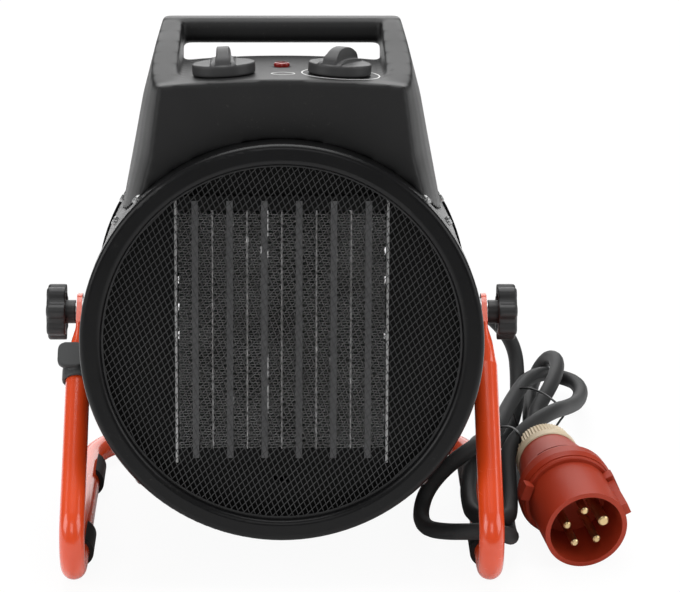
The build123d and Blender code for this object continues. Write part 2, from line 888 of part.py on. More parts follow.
def flattened_end():
    """Tube end pressed flat, rounded and drilled for the clamp stud."""
    shift = (clamp_plate_inner + clamp_plate_outer) / 2 - tube_line
    round_end = leg_plane(flat_taper_end) * Circle(tube_radius)
    middle_width = clamp_plate_thickness * 0.42 + 2 * tube_radius * 0.58
    middle_depth = 2 * clamp_plate_half_width * 0.42 + 2 * tube_radius * 0.58
    middle = leg_plane((flat_length + flat_taper_end) / 2) * Pos(shift * 0.45, 0) * RectangleRounded(
        middle_width, middle_depth, middle_width / 2 - 0.05
    )
    flat_start = leg_plane(flat_length) * Pos(shift, 0) * RectangleRounded(
        clamp_plate_thickness, 2 * clamp_plate_half_width, clamp_plate_thickness / 2 - 0.05
    )
    taper = loft([flat_start, middle, round_end])
    strip = Pos(shift, 0) * Rectangle(clamp_plate_thickness, 2 * clamp_plate_half_width)
    plate = extrude(leg_plane(0) * strip, flat_length)
    eye = bored_rod_x(clamp_plate_half_width, 0, clamp_plate_inner, clamp_plate_outer)
    hole = bored_rod_x(stud_radius + running_gap, 0, clamp_plate_inner - 5, clamp_plate_outer + 5)
    return taper + plate + eye - hole


def stand_tube():
    path = stand_path()
    section = Circle(tube_radius) - Circle(tube_radius - tube_wall)
    start = leg_plane(flat_taper_end)
    tube = sweep(start * section, path=path)
    end = flattened_end()
    return tube + end + mirrored(end)


def foot(place):
    """Clip-on foot round the runner, open above, flat below."""
    ring = Circle(tube_radius + foot_wall) + Pos(0, -tube_radius - foot_wall / 2 + 1.0) * Rectangle(
        foot_pad_width, foot_wall + 2.0
    )
    ring = ring & Pos(0, 0) * Rectangle(60, 2 * (tube_radius + foot_wall))
    ring = ring - Circle(tube_radius + running_gap)
    ring = ring - Pos(0, tube_radius) * Rectangle(foot_mouth, 2 * tube_radius)
    clip = extrude(Plane.XZ * ring, foot_length / 2, both=True)
    return Pos(tube_line, place, runner_height - pivot_height) * clip


def cord_hook():
    """Half band clipped round the left leg from outside, with a flat tongue standing off it."""
    lean = math.radians(leg_lean)
    band = Circle(tube_radius + hook_band_wall) - Circle(tube_radius + running_gap)
    band = band - Pos(-tube_radius - hook_mouth_place, 0) * Rectangle(2 * tube_radius, 4 * tube_radius)
    band = extrude(leg_plane(hook_place - hook_length / 2) * band, hook_length)
    rise = tube_radius + hook_band_wall - hook_tongue_thickness / 5
    y, z = leg_point(hook_place - hook_tongue_length / 2, rise)
    root = (tube_line + hook_tongue_shift, y, z)
    across = Plane(origin=root, x_dir=(1, 0, 0), z_dir=(0, -math.cos(lean), math.sin(lean)))
    tongue = RectangleRounded(hook_tongue_reach, hook_tongue_length, 5)
    return mirrored(band + extrude(across * tongue, hook_tongue_thickness))


# ---- cord, plain solids ----
def corner_radii(points):
    """Each corner's arc takes 0.45 of its shorter run."""
    radii = []
    for index in range(1, len(points) - 1):
        before = Vector(*points[index]) - Vector(*points[index - 1])
        after = Vector(*points[index + 1]) - Vector(*points[index])
        half_turn = math.radians(before.get_angle(after)) / 2
        radii.append(0.45 * min(before.length, after.length) / math.tan(half_turn))
    return radii


def cord_tube(points, name):
    radii = corner_radii(points)
    path = FilletPolyline(points, radius=radii)
    start = Plane(origin=path @ 0, z_dir=path % 0)
    solid = sweep(start * Circle(cord_radius), path=path)
    expected = math.pi * cord_radius ** 2 * path.length
    print(name, "length", round(path.length, 1), "radii", [round(radius) for radius in radii])
    print(name, "volume over section times length", round(solid.volume / expected, 4))
    return solid


def above_floor(points):
    """Route points given by their height above the floor."""
    return [(x, y, z - pivot_height) for x, y, z in points]


def cord_lead():
    """From the gland's mouth, back and down behind the drum, into the tied loops."""
    tilt = math.radians(tilt_at_rest)
    exit_y = gland_end * math.cos(tilt) + gland_raise * math.sin(tilt)
    exit_z = -gland_end * math.sin(tilt) + gland_raise * math.cos(tilt)
    straight = 26.0
    exit_point = (gland_offset, exit_y, exit_z)
    clear_point = (gland_offset, exit_y + straight * math.cos(tilt), exit_z - straight * math.sin(tilt))
    route = [
        (111, 156, 106),
        (123, 180, 93),
        (141, 193, 75),
        (159, 196, 57),
        (171, 193, 42),
        (177, 185, 28),
    ]
    return cord_tube([exit_point, clear_point] + above_floor(route), "cord_lead")


def cord_inner_strand():
    """Second turn of cord, forward over the right runner and back along it."""
    route = [
        (155, 94, 12),
        (148, 79, 19),
        (140, 64, 26),
        (134, 47, 29),
        (130, 20, 28.5),
        (126.5, -12, 27),
        (125.5, -44, 27.5),
        (125.5, -69, 28.5),
        (137.5, -76, 28.5),
        (149.5, -69, 26.5),
        (149.5, -46, 22),
        (150, -16, 19),
        (150.5, 10, 19),
        (152, 32, 24),
        (158, 53, 31),
    ]
    return cord_tube(above_floor(route), "cord_inner_strand")


def cord_front_loop():
    """Loose loop over the right runner, round its inner side and back along its outer side."""
    route = [
        (153, 76, 34),
        (149.5, 60, 35),
        (141.5, 34, 39.5),
        (129, 14, 40.5),
        (116, 3, 34.5),
        (104, 0, 21),
        (97, -12, 9.5),
        (96, -32, 7),
        (100, -54, 11.5),
        (109, -76, 20),
        (120, -92, 27.5),
        (134, -99.5, 31),
        (147, -94, 27),
        (153.5, -81, 18.5),
        (155.5, -60, 10),
        (157, -32, 6.5),
        (158, 2, 6),
        (163, 36, 6.2),
        (170, 64, 7),
    ]
    return cord_tube(above_floor(route), "cord_front_loop")


def cord_tail():
    """Short stretch from the tied loops into the plug's nut."""
    nut_end = plug_body_end + plug_nut_length
    route = above_floor([(183, 84, 22), (183, 66, 31)])
    route = route + [plug_axis_point(nut_end + 19), plug_axis_point(nut_end - 4)]
    return cord_tube(route, "cord_tail")


def cord_hank():
    """Outer shape of the tied loops, lying flat beside the right runner."""
    outline = FilletPolyline(
        [
            (150, 66),
            (163, 48),
            (189, 62),
            (216, 108),
            (232, 168),
            (232, 214),
            (216, 226),
            (206, 240),
            (192, 240),
            (169, 196),
            (165, 150),
            (151, 98),
        ],
        radius=[8, 12, 20, 30, 18, 8, 10, 8, 10, 20, 30, 12],
        close=True,
    )
    solid = extrude(make_face(outline), hank_height)
    solid = fillet(solid.edges().group_by(Axis.Z)[-1], 5)
    solid = Pos(0, 0, -pivot_height) * solid
    return solid - cord_lead() - cord_inner_strand() - cord_front_loop() - cord_tail()


# ---- plug, drawn along Y with its mouth at zero and its nut to the rear ----
def plug_seated(shape):
    lift = plug_shroud_radius * math.cos(math.radians(plug_pitch)) + 0.1
    place = Pos(plug_mouth_x, plug_mouth_y, lift - pivot_height)
    return place * Rot(0, 0, plug_yaw) * Rot(plug_pitch, 0, 0) * shape


def plug_axis_point(distance):
    point = plug_seated(Pos(0, distance, 0)).position
    return (point.X, point.Y, point.Z)


def plug_floor_place():
    """Where the shroud closes behind the pins."""
    return plug_collar_place - 2


def plug_rear_place():
    """Back of the collar, where the handle begins."""
    return plug_collar_place + plug_collar_thickness


def plug_shroud():
    """Round shroud with a collar, a guide key and two latch lugs."""
    inner = plug_shroud_radius - plug_shroud_wall
    shroud = bored_rod_y(plug_shroud_radius, inner, 0, plug_rear_place())
    floor_plate = bored_rod_y(inner + 0.5, 0, plug_floor_place(), plug_rear_place())
    collar = bored_rod_y(plug_collar_radius, inner, plug_collar_place, plug_rear_place())
    collar = chamfer(collar.edges().group_by(Axis.Y)[0], 0.8)
    key_top = plug_shroud_radius + plug_key_height
    key = Pos(0, 17.5, key_top - plug_key_height) * Box(plug_key_width, 31, 2 * plug_key_height)
    lug = Pos(0, 38, key_top - 3) * Box(13, 7.5, 8)
    latch = Pos(0, plug_rear_place() - 4, plug_collar_radius + 1) * Box(11, 7.5, 6)
    shroud = shroud + floor_plate + collar
    shroud = shroud + Rot(0, plug_key_turn, 0) * (key + lug) + Rot(0, plug_latch_turn, 0) * latch
    shroud = shroud - bored_rod_y(inner, 0, -1, plug_floor_place())
    pin_hole = bored_rod_y(plug_pin_radius + running_gap, 0, 0, plug_body_end)
    for turn in plug_pin_turns():
        shroud = shroud - Rot(0, turn, 0) * Pos(0, 0, plug_pin_circle_radius) * pin_hole
    earth_hole = bored_rod_y(plug_earth_radius + running_gap, 0, 0, plug_body_end)
    return shroud - Rot(0, plug_earth_turn, 0) * Pos(0, 0, plug_pin_circle_radius) * earth_hole


def plug_pin_turns():
    return [plug_earth_turn + 72 * step for step in range(1, 5)]


def plug_pin(radius, recess):
    pin = bored_rod_y(radius, 0, recess, plug_rear_place() + 5)
    return chamfer(pin.edges().group_by(Axis.Y)[0], 0.9)


def plug_pins():
    pin = Pos(0, 0, plug_pin_circle_radius) * plug_pin(plug_pin_radius, plug_pin_recess)
    return together([Rot(0, turn, 0) * pin for turn in plug_pin_turns()])


def plug_earth_pin():
    pin = plug_pin(plug_earth_radius, plug_earth_recess)
    return Rot(0, plug_earth_turn, 0) * Pos(0, 0, plug_pin_circle_radius) * pin


def plug_body():
    """Handle behind the collar: a wide skirt, two window slots and a hollow for the wires."""
    start = plug_rear_place()
    profile = [
        (start, 0),
        (start, plug_skirt_radius - 1.2),
        (start + 4, plug_skirt_radius),
        (start + 12, plug_skirt_radius - 0.6),
        (start + 21, plug_body_radius),
        (plug_body_end, plug_nut_radius - 1.0),
        (plug_body_end, 0),
    ]
    body = revolve(Plane.YZ * make_face(Polyline(*profile, close=True)), Axis.Y)
    hollow = bored_rod_y(plug_body_radius - 6, 0, start, plug_body_end - 8)
    body = body - hollow - bored_rod_y(cord_radius + loose_gap, 0, start, plug_body_end + 1)
    window = Pos(0, start + 17, plug_body_radius + 2) * Box(11, 4, 8)
    for turn in (-27, -6):
        body = body - Rot(0, turn, 0) * window
    return body


def plug_nut():
    """Ribbed clamping nut that grips the cord."""
    length = plug_nut_length
    body = Cylinder(plug_nut_radius - 1.2, length - 8)
    cone = Pos(0, 0, (length - 8) / 2 + 4) * Cone(plug_nut_radius - 2.5, 11.0, 8)
    rib = Pos(plug_nut_radius - 1.2, 0, 0) * Box(2.4, 2.2, length - 9)
    nut = body + cone
    for number in range(plug_nut_rib_count):
        nut = nut + Rot(0, 0, 360 / plug_nut_rib_count * number) * rib
    nut = nut - Cylinder(cord_radius + loose_gap, 3 * length)
    return Pos(0, plug_body_end + (length - 8) / 2, 0) * Rot(-90, 0, 0) * nut


# ---- nodes ----
drum_pieces = {
    "front_ring": front_ring,
    "front_mesh": front_mesh,
    "drum_shell": drum_shell,
    "baffle_plate": baffle_plate,
    "heater_bars": heater_bars,
    "fin_strips": fin_strips,
    "fin_dividers": fin_dividers,
    "element_end_blocks": element_end_blocks,
    "element_side_rails": element_side_rails,
    "element_terminals": element_terminals,
    "thermal_cutout": thermal_cutout,
    "fan_shroud": fan_shroud,
    "motor_bracket": motor_bracket,
    "fan_motor": fan_motor,
    "motor_shaft": motor_shaft,
    "fan_impeller": fan_impeller,
    "rear_grille": rear_grille,
    "terminal_block": terminal_block,
    "cable_gland": cable_gland,
    "gland_locknut": gland_locknut,
    "gland_nut": gland_nut,
    "ring_screws": ring_screws,
    "side_screws": side_screws,
    "top_housing": top_housing,
    "indicator_lamp": indicator_lamp,
    "thermostat_body": lambda: control_axis(-1) * control_body((-6, 6)),
    "selector_switch_body": lambda: control_axis(1) * control_body((-8, -3, 3, 8)),
    "thermostat_shaft": lambda: control_axis(-1) * control_shaft(),
    "selector_shaft": lambda: control_axis(1) * control_shaft(),
    "thermostat_knob": lambda: control_axis(-1) * control_knob(thermostat_pointer),
    "selector_knob": lambda: control_axis(1) * control_knob(selector_pointer),
    "weld_nuts": weld_nuts,
    "pivot_spacers": pivot_spacers,
    "clamp_stud_right": clamp_stud,
    "clamp_stud_left": lambda: mirrored(clamp_stud()),
    "star_knob_right": star_knob,
    "star_knob_left": lambda: mirrored(star_knob()),
}

stand_pieces = {
    "stand_tube": stand_tube,
    "front_feet": lambda: both_sides(foot(front_foot_place)),
    "rear_feet": lambda: both_sides(foot(rear_foot_place)),
    "cord_hook": cord_hook,
    "clamp_washers": clamp_washers,
}

cord_pieces = {
    "cord_lead": cord_lead,
    "cord_inner_strand": cord_inner_strand,
    "cord_front_loop": cord_front_loop,
    "cord_hank": cord_hank,
    "cord_tail": cord_tail,
    "plug_shroud": lambda: plug_seated(plug_shroud()),
    "plug_body": lambda: plug_seated(plug_body()),
    "plug_nut": lambda: plug_seated(plug_nut()),
    "plug_pins": lambda: plug_seated(plug_pins()),
    "plug_earth_pin": lambda: plug_seated(plug_earth_pin()),
}

tilted = Rot(-tilt_at_rest, 0, 0)
solids = {}
for name, make in drum_pieces.items():
    solids[name] = tilted * make()
for name, make in stand_pieces.items():
    solids[name] = make()

# The origin lies under the middle of the object's outer box, without the cord.
front_reach = min(solid.bounding_box().min.Y for solid in solids.values())
rear_reach = max(solid.bounding_box().max.Y for solid in solids.values())
origin_shift = -(front_reach + rear_reach) / 2
for name, make in cord_pieces.items():
    solids[name] = make()

os.makedirs("parts", exist_ok=True)
for name, solid in solids.items():
    export_step(Pos(0, origin_shift, pivot_height) * solid, "parts/" + name + ".step")
print("tilt axis at Y", round(origin_shift, 3), "Z", pivot_height)
for label, side in (("thermostat", -1), ("selector", 1)):
    place = Pos(0, origin_shift, pivot_height) * tilted * control_axis(side)
    tip = place * Pos(0, 0, 1)
    axis = tip.position - place.position
    print(label, "axis through", place.position, "along", axis)
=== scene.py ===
import math

import bpy
from mathutils import Matrix, Vector


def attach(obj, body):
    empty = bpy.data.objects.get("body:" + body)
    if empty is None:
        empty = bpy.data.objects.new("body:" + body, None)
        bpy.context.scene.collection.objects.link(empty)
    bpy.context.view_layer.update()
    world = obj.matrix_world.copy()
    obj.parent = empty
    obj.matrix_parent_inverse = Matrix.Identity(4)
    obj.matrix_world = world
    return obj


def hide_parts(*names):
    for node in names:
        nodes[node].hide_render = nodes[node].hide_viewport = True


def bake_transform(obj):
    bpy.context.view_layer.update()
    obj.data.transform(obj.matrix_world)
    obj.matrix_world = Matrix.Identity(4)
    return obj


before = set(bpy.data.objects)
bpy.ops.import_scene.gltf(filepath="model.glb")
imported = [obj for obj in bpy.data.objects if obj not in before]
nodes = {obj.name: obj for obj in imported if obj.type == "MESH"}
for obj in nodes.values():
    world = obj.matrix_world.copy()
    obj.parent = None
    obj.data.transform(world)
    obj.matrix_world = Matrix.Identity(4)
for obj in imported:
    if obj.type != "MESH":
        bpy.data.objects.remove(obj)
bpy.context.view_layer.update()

# where the drum hangs on its stand, and how many degrees it leans back at rest
tiltAxis = dict(place=(0.0, 0.009865, 0.146), restTilt=9.0)

# vertices closer than this are one vertex
weldDistance = 0.00001


def linear(hexColour):
    # a screen colour such as "c8371b" as the linear values that a socket takes
    channels = []
    for start in (0, 2, 4):
        value = int(hexColour[start:start + 2], 16) / 255
        channels.append(value / 12.92 if value <= 0.04045 else ((value + 0.055) / 1.055) ** 2.4)
    return (*channels, 1.0)


class Wire:
    # a node's output that adds and multiplies as a number does

    def __init__(self, finish, socket):
        self.finish = finish
        self.socket = socket

    def maths(self, operation, first, second=0.5):
        return self.finish.add("ShaderNodeMath", {"operation": operation}, {0: first, 1: second})

    def __add__(self, other):
        return self.maths("ADD", self, other)

    def __radd__(self, other):
        return self.maths("ADD", other, self)

    def __mul__(self, other):
        return self.maths("MULTIPLY", self, other)

    def wave(self):
        return self.maths("SINE", self)

    def between(self, low, high):
        # 0 at low, 1 at high, held outside
        return self.finish.add(
            "ShaderNodeMapRange", {"clamp": True}, {"Value": self, "From Min": low, "From Max": high}
        )


class Finish:
    # one material; add() makes any node, and the other calls are what the finishes share

    def __init__(self, name):
        self.material = bpy.data.materials.new(name)
        self.material.use_nodes = True
        self.tree = self.material.node_tree
        self.tree.nodes.clear()
        self.place = self.add("ShaderNodeTexCoord", out="Object")

    def add(self, kind, settings=None, sockets=None, out=0):
        node = self.tree.nodes.new(kind)
        for name, value in (settings or {}).items():
            setattr(node, name, value)
        for name, value in (sockets or {}).items():
            if isinstance(value, Wire):
                self.tree.links.new(value.socket, node.inputs[name])
            else:
                node.inputs[name].default_value = value
        return Wire(self, node.outputs[out]) if node.outputs else None

    def noise(self, size, detail=2.0, roughness=0.5, vector=None):
        # size is the width of one blotch, in metres
        return self.add(
            "ShaderNodeTexNoise", None,
            {"Vector": vector or self.place, "Scale": 1 / size, "Detail": detail, "Roughness": roughness},
            out="Fac",
        )

    def stretched(self, scale, turn=(0, 0, 0)):
        return self.add("ShaderNodeMapping", None, {"Vector": self.place, "Scale": scale, "Rotation": turn})

    def axis(self, name):
        return self.add("ShaderNodeSeparateXYZ", None, {0: self.place}, out=name)

    def blend(self, factor, first, second):
        # two colours by a factor
        return self.add("ShaderNodeMix", {"data_type": "RGBA"}, {0: factor, 6: first, 7: second}, out=2)

    def bump(self, height, depth, strength=1.0, over=None):
        sockets = {"Height": height, "Distance": depth, "Strength": strength}
        if over is not None:
            sockets["Normal"] = over
        return self.add("ShaderNodeBump", None, sockets, out="Normal")

    def surface(self, sockets):
        shader = self.add("ShaderNodeBsdfPrincipled", None, sockets, out="BSDF")
        self.add("ShaderNodeOutputMaterial", None, {"Surface": shader})
        return self.material


# a painted, moulded or rubber finish; each one below says only how it differs from this
plainCoat = dict(
    rough=0.5, roughSpread=0.10, grain=0.0006, grainDepth=0.00003, coat=0.0, shine=0.4, dust=0.12,
)
coatings = {
    "drumPaint": dict(
        dark="060607", pale="0d0d0e", rough=0.36, roughSpread=0.12, grain=0.0011, coat=0.05, shine=0.22,
        dust=0.10,
    ),
    "meshPaint": dict(
        dark="262627", pale="363636", rough=0.42, roughSpread=0.15, grainDepth=0.00002, coat=0.1, dust=0.25,
    ),
    "bafflePaint": dict(
        dark="060606", pale="0c0c0c", rough=0.6, grain=0.0008, grainDepth=0.00002, shine=0.15, dust=0.15,
    ),
    "housingPlastic": dict(
        dark="141415", pale="1d1d1d", rough=0.48, grain=0.00055, grainDepth=0.00004, shine=0.3,
    ),
    "knobPlastic": dict(dark="303031", pale="3c3c3c", grain=0.0005, grainDepth=0.00002, dust=0.14),
    "starPlastic": dict(dark="222223", pale="2e2e2e", rough=0.45, grain=0.0005),
    "clampPlastic": dict(dark="101010", pale="1b1b1b", rough=0.42, grain=0.0005, shine=0.35),
    "tongueRubber": dict(dark="303132", pale="3d3e3e", rough=0.55, dust=0.2),
    "footRubber": dict(
        dark="131313", pale="202020", rough=0.68, roughSpread=0.12, grainDepth=0.00004, shine=0.25, dust=0.35,
    ),
    "cordRubber": dict(
        dark="222223", pale="2f3030", rough=0.6, roughSpread=0.12, grain=0.0007, grainDepth=0.00004,
        shine=0.25, dust=0.22,
    ),
    "tiePlastic": dict(dark="0b0b0b", pale="141414", rough=0.4, grain=0.0005, grainDepth=0.00001, dust=0.1),
    "standPaint": dict(
        dark="c63a10", pale="da4a1a", rough=0.26, roughSpread=0.06, grain=0.0022, grainDepth=0.00002,
        coat=0.5, shine=0.5, dust=0.03,
    ),
    "plugPlastic": dict(dark="8c2611", pale="9e351c", grainDepth=0.00004, shine=0.25, dust=0.06),
    "nutPlastic": dict(dark="b3a287", pale="c6b79c", roughSpread=0.08, dust=0.1),
    "ceramicGrey": dict(dark="4a4a4b", pale="626263", rough=0.7, grain=0.0005, dust=0.2),
    "switchPlastic": dict(dark="1a1a1b", pale="242425", dust=0.15),
    "terminalPlastic": dict(dark="cfcab8", pale="ddd8c8", rough=0.45, grainDepth=0.00002, shine=0.5),
    "printInk": dict(dark="c9cac9", pale="dededc", grain=0.0004, grainDepth=0.00001, dust=0.1),
}

# what all coatings share: broad mottling, dust specks in patches, thin scuffs and a slow swell of the surface
coatLook = dict(
    cloudSize=0.045, cloudDetail=3.0,
    patchSize=0.06, patchRange=(0.45, 0.7),
    speckSize=0.0022, speckDetail=4.0, speckRoughness=0.7, speckRange=(0.62, 0.75),
    dustColour="8d8a84", dustRough=0.3,
    scuffSize=0.01, scuffStretch=(1, 1, 14), scuffTurn=(0.3, 0.6, 0.2), scuffRange=(0.70, 0.76),
    scuffRough=0.12,
    swellSize=0.012, swellDepth=0.00006, swellStrength=0.5,
    ior=1.5, coatRough=0.12,
)


def makeCoating(name):
    spec = {**plainCoat, **coatings[name]}
    look = coatLook
    finish = Finish(name)
    cloud = finish.noise(look["cloudSize"], look["cloudDetail"])
    patches = finish.noise(look["patchSize"]).between(*look["patchRange"])
    specks = finish.noise(look["speckSize"], look["speckDetail"], look["speckRoughness"])
    dusty = specks.between(*look["speckRange"]) * patches * spec["dust"]
    colour = finish.blend(cloud, linear(spec["dark"]), linear(spec["pale"]))
    colour = finish.blend(dusty, colour, linear(look["dustColour"]))
    along = finish.stretched(look["scuffStretch"], look["scuffTurn"])
    lines = finish.noise(look["scuffSize"], detail=1.0, vector=along)
    scuffs = lines.between(*look["scuffRange"]) * patches
    rough = spec["rough"] - spec["roughSpread"] / 2 + cloud * spec["roughSpread"]
    rough = rough + scuffs * look["scuffRough"] + dusty * look["dustRough"]
    grain = finish.bump(finish.noise(spec["grain"]), spec["grainDepth"])
    swell = finish.noise(look["swellSize"], detail=1.0)
    return finish.surface({
        "Base Color": colour, "Roughness": rough, "IOR": look["ior"],
        "Normal": finish.bump(swell, look["swellDepth"], look["swellStrength"], grain),
        "Specular IOR Level": spec["shine"], "Coat Weight": spec["coat"], "Coat Roughness": look["coatRough"],
    })


# bare metals: brushed along one axis, with a tarnish colour in random cloudy patches
metals = {
    "zincPlate": dict(colour="b9babb", stain="83827c", rough=0.24, brush=(1, 1, 1), size=0.0009),
    "finAluminium": dict(colour="b4b4b4", stain="6c6a66", rough=0.34, brush=(1, 1, 5), size=0.0012),
    "railAluminium": dict(colour="c9c9c9", stain="8a8a88", rough=0.28, brush=(1, 8, 1), size=0.0015),
    "galvanised": dict(colour="9a9d9e", stain="6f7272", rough=0.38, brush=(1, 1, 1), size=0.009),
    "motorSteel": dict(colour="8f9091", stain="5c5b58", rough=0.4, brush=(1, 6, 1), size=0.003),
    "fanAluminium": dict(colour="b7b8b9", stain="8f8f8c", rough=0.3, brush=(1, 1, 3), size=0.002),
    "pinBrass": dict(colour="d8c193", stain="a88c5a", rough=0.22, brush=(1, 6, 1), size=0.0012),
}
metalLook = dict(
    cloudSize=0.02, cloudRough=0.06, stainRange=(0.35, 0.75), stainShare=0.55,
    streakDetail=3.0, streakRoughness=0.6, streakRough=0.18, streakDepth=0.00002, streakStrength=0.6,
)


def makeMetal(name):
    spec = metals[name]
    look = metalLook
    finish = Finish(name)
    brushed = finish.stretched(spec["brush"])
    streaks = finish.noise(spec["size"], look["streakDetail"], look["streakRoughness"], brushed)
    cloud = finish.noise(look["cloudSize"])
    stained = cloud.between(*look["stainRange"]) * look["stainShare"]
    return finish.surface({
        "Base Color": finish.blend(stained, linear(spec["colour"]), linear(spec["stain"])),
        "Metallic": 1.0,
        "Roughness": spec["rough"] + streaks * look["streakRough"] + cloud * look["cloudRough"],
        "Normal": finish.bump(streaks, look["streakDepth"], look["streakStrength"]),
    })


# clear red cap of the lamp: two reds in small clouds, a faint glow, and ribs so many radians apart in a metre
lens = dict(
    colour="86120d", deepColour="5c0a08", cloudSize=0.003, cloudRange=(0.3, 0.7),
    glow="ff2a12", glowStrength=0.03, rough=0.12, roughSpread=0.08, roughSize=0.002, coat=0.6,
    ribTurn=2600, ribDepth=0.00005, ribStrength=0.5,
)


def makeLens():
    finish = Finish("lampLens")
    ribs = (finish.axis("X") * lens["ribTurn"]).wave()
    clouds = finish.noise(lens["cloudSize"]).between(*lens["cloudRange"])
    return finish.surface({
        "Base Color": finish.blend(clouds, linear(lens["colour"]), linear(lens["deepColour"])),
        "Roughness": lens["rough"] + finish.noise(lens["roughSize"]) * lens["roughSpread"],
        "Coat Weight": lens["coat"],
        "Emission Color": linear(lens["glow"]), "Emission Strength": lens["glowStrength"],
        "Normal": finish.bump(ribs, lens["ribDepth"], lens["ribStrength"]),
    })


finishes = {name: makeCoating(name) for name in coatings}
finishes.update({name: makeMetal(name) for name in metals})
finishes["lampLens"] = makeLens()
print("finishes made:", len(finishes))

# which finish each carried-over piece wears
wears = {
    "drumPaint": ["front_ring", "drum_shell", "rear_grille"],
    "bafflePaint": ["baffle_plate", "element_end_blocks"],
    "clampPlastic": ["cable_gland", "gland_nut", "gland_locknut"],
    "footRubber": ["front_feet", "rear_feet"],
    "standPaint": ["stand_tube"],
    "plugPlastic": ["plug_shroud", "plug_body"],
    "ceramicGrey": ["heater_bars"],
    "switchPlastic": ["thermostat_body", "selector_switch_body", "thermal_cutout"],
    "terminalPlastic": ["terminal_block"],
    "zincPlate": [
        "ring_screws", "side_screws", "clamp_washers", "clamp_stud_right", "clamp_stud_left", "weld_nuts",
        "pivot_spacers", "thermostat_shaft", "selector_shaft", "motor_shaft", "element_terminals",
    ],
    "finAluminium": ["fin_dividers"],
    "railAluminium": ["element_side_rails"],
    "galvanised": ["fan_shroud", "motor_bracket"],
    "motorSteel": ["fan_motor"],
    "fanAluminium": ["fan_impeller"],
    "pinBrass": ["plug_pins", "plug_earth_pin"],
    "lampLens": ["indicator_lamp"],
}


def paint(piece, finishName):
    piece.data.materials.clear()
    piece.data.materials.append(finishes[finishName])


for finishName, pieceNames in wears.items():
    for pieceName in pieceNames:
        paint(nodes[pieceName], finishName)
print("pieces dressed")

primitives = {
    "plane": bpy.ops.mesh.primitive_plane_add,
    "cube": bpy.ops.mesh.primitive_cube_add,
    "circle": bpy.ops.mesh.primitive_circle_add,
    "cylinder": bpy.ops.mesh.primitive_cylinder_add,
}


def startPiece(name, kind, **settings):
    # a fresh primitive with nothing else selected
    if bpy.context.mode != "OBJECT":
        bpy.ops.object.mode_set(mode="OBJECT")
    bpy.ops.object.select_all(action="DESELECT")
    primitives[kind](**settings)
    piece = bpy.context.active_object
    piece.name = name
    return piece


def pick(piece, test):
    # edit mode with only the vertices that pass the test selected
    bpy.ops.object.mode_set(mode="EDIT")
    bpy.ops.mesh.select_mode(type="VERT")
    bpy.ops.mesh.select_all(action="DESELECT")
    bpy.ops.object.mode_set(mode="OBJECT")
    for vertex in piece.data.vertices:
        vertex.select = test(vertex.co)
    bpy.ops.object.mode_set(mode="EDIT")


def pickAll():
    bpy.ops.object.mode_set(mode="EDIT")
    bpy.ops.mesh.select_all(action="SELECT")


def modify(piece, kind, **settings):
    # one modifier, applied at once
    bpy.ops.object.mode_set(mode="OBJECT")
    modifier = piece.modifiers.new(kind.title(), kind)
    for name, value in settings.items():
        setattr(modifier, name, value)
    bpy.ops.object.modifier_apply(modifier=modifier.name)


def repeat(piece, count, step, **settings):
    modify(
        piece, "ARRAY", count=count, use_relative_offset=False, use_constant_offset=True,
        constant_offset_displace=step, **settings,
    )


def settle(location=True):
    # the selected piece's turn, scale and place go into its mesh
    bpy.ops.object.transform_apply(location=location, rotation=True, scale=True)


def intoDrum(piece):
    # from the drum's own frame, along Y, to its place tipped back on the tilt axis
    piece.location = tiltAxis["place"]
    piece.rotation_euler = (math.radians(-tiltAxis["restTilt"]), 0, 0)
    settle()


# thin sheet folded to and fro across each of the twelve gaps between the heating bars;
# dip is the share of each fold's rise that lies in its bend
fins = dict(
    width=0.0078, depth=0.0165, front=-0.0852, top=0.0818, bottom=-0.0718, pitch=0.0034, dip=0.3,
    sheet=0.00028, gapStep=0.0126, barPitch=0.022, bars=6, rippleSize=0.006, ripple=0.0007,
)


def makeFins():
    rise = fins["pitch"] / 2
    piece = startPiece("element_fins", "plane", size=1)
    piece.scale = (fins["width"], fins["depth"], 1)
    piece.location = (0, fins["front"] + fins["depth"] / 2, fins["bottom"])
    settle()
    pick(piece, lambda place: place.x > 0)
    bpy.ops.transform.translate(value=(0, 0, rise * fins["dip"]))
    for side, lift in ((0, 1 - fins["dip"]), (-1, fins["dip"]), (0, 1 - fins["dip"])):
        shift = (side * fins["width"], 0, rise * lift)
        bpy.ops.mesh.extrude_region_move(TRANSFORM_OT_translate={"value": shift})
    folds = int((fins["top"] - fins["bottom"]) / fins["pitch"])
    repeat(piece, folds, (0, 0, fins["pitch"]), use_merge_vertices=True, merge_threshold=weldDistance)
    pickAll()
    bpy.ops.mesh.subdivide(number_cuts=1)
    bpy.ops.mesh.normals_make_consistent(inside=False)
    modify(piece, "SOLIDIFY", thickness=fins["sheet"], offset=0)
    repeat(piece, 2, (fins["gapStep"], 0, 0))
    repeat(piece, fins["bars"], (fins["barPitch"], 0, 0))
    ripple = bpy.data.textures.new("finRipple", "CLOUDS")
    ripple.noise_scale = fins["rippleSize"]
    modify(piece, "DISPLACE", texture=ripple, direction="Z", strength=fins["ripple"])
    piece.location = (-fins["barPitch"] * (fins["bars"] - 1) / 2 - fins["gapStep"] / 2, 0, 0)
    settle()
    intoDrum(piece)
    paint(piece, "finAluminium")
    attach(piece, "heater")
    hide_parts("fin_strips")


makeFins()
print("fins folded")

# clamping nut of the plug: a smooth band in front, then fine ribs and a cone towards the cord
clampNut = dict(
    radius=0.0216, edge=0.0007, bandLength=0.0065,
    ribRadius=0.0208, ribTaper=0.0008, ribLength=0.0105, ribs=56, groove=0.965, smoothAngle=25,
    coneLength=0.004, coneEnd=0.0107, throat=0.0062, throatWall=0.006, step=0.0002, lip=0.0003,
)
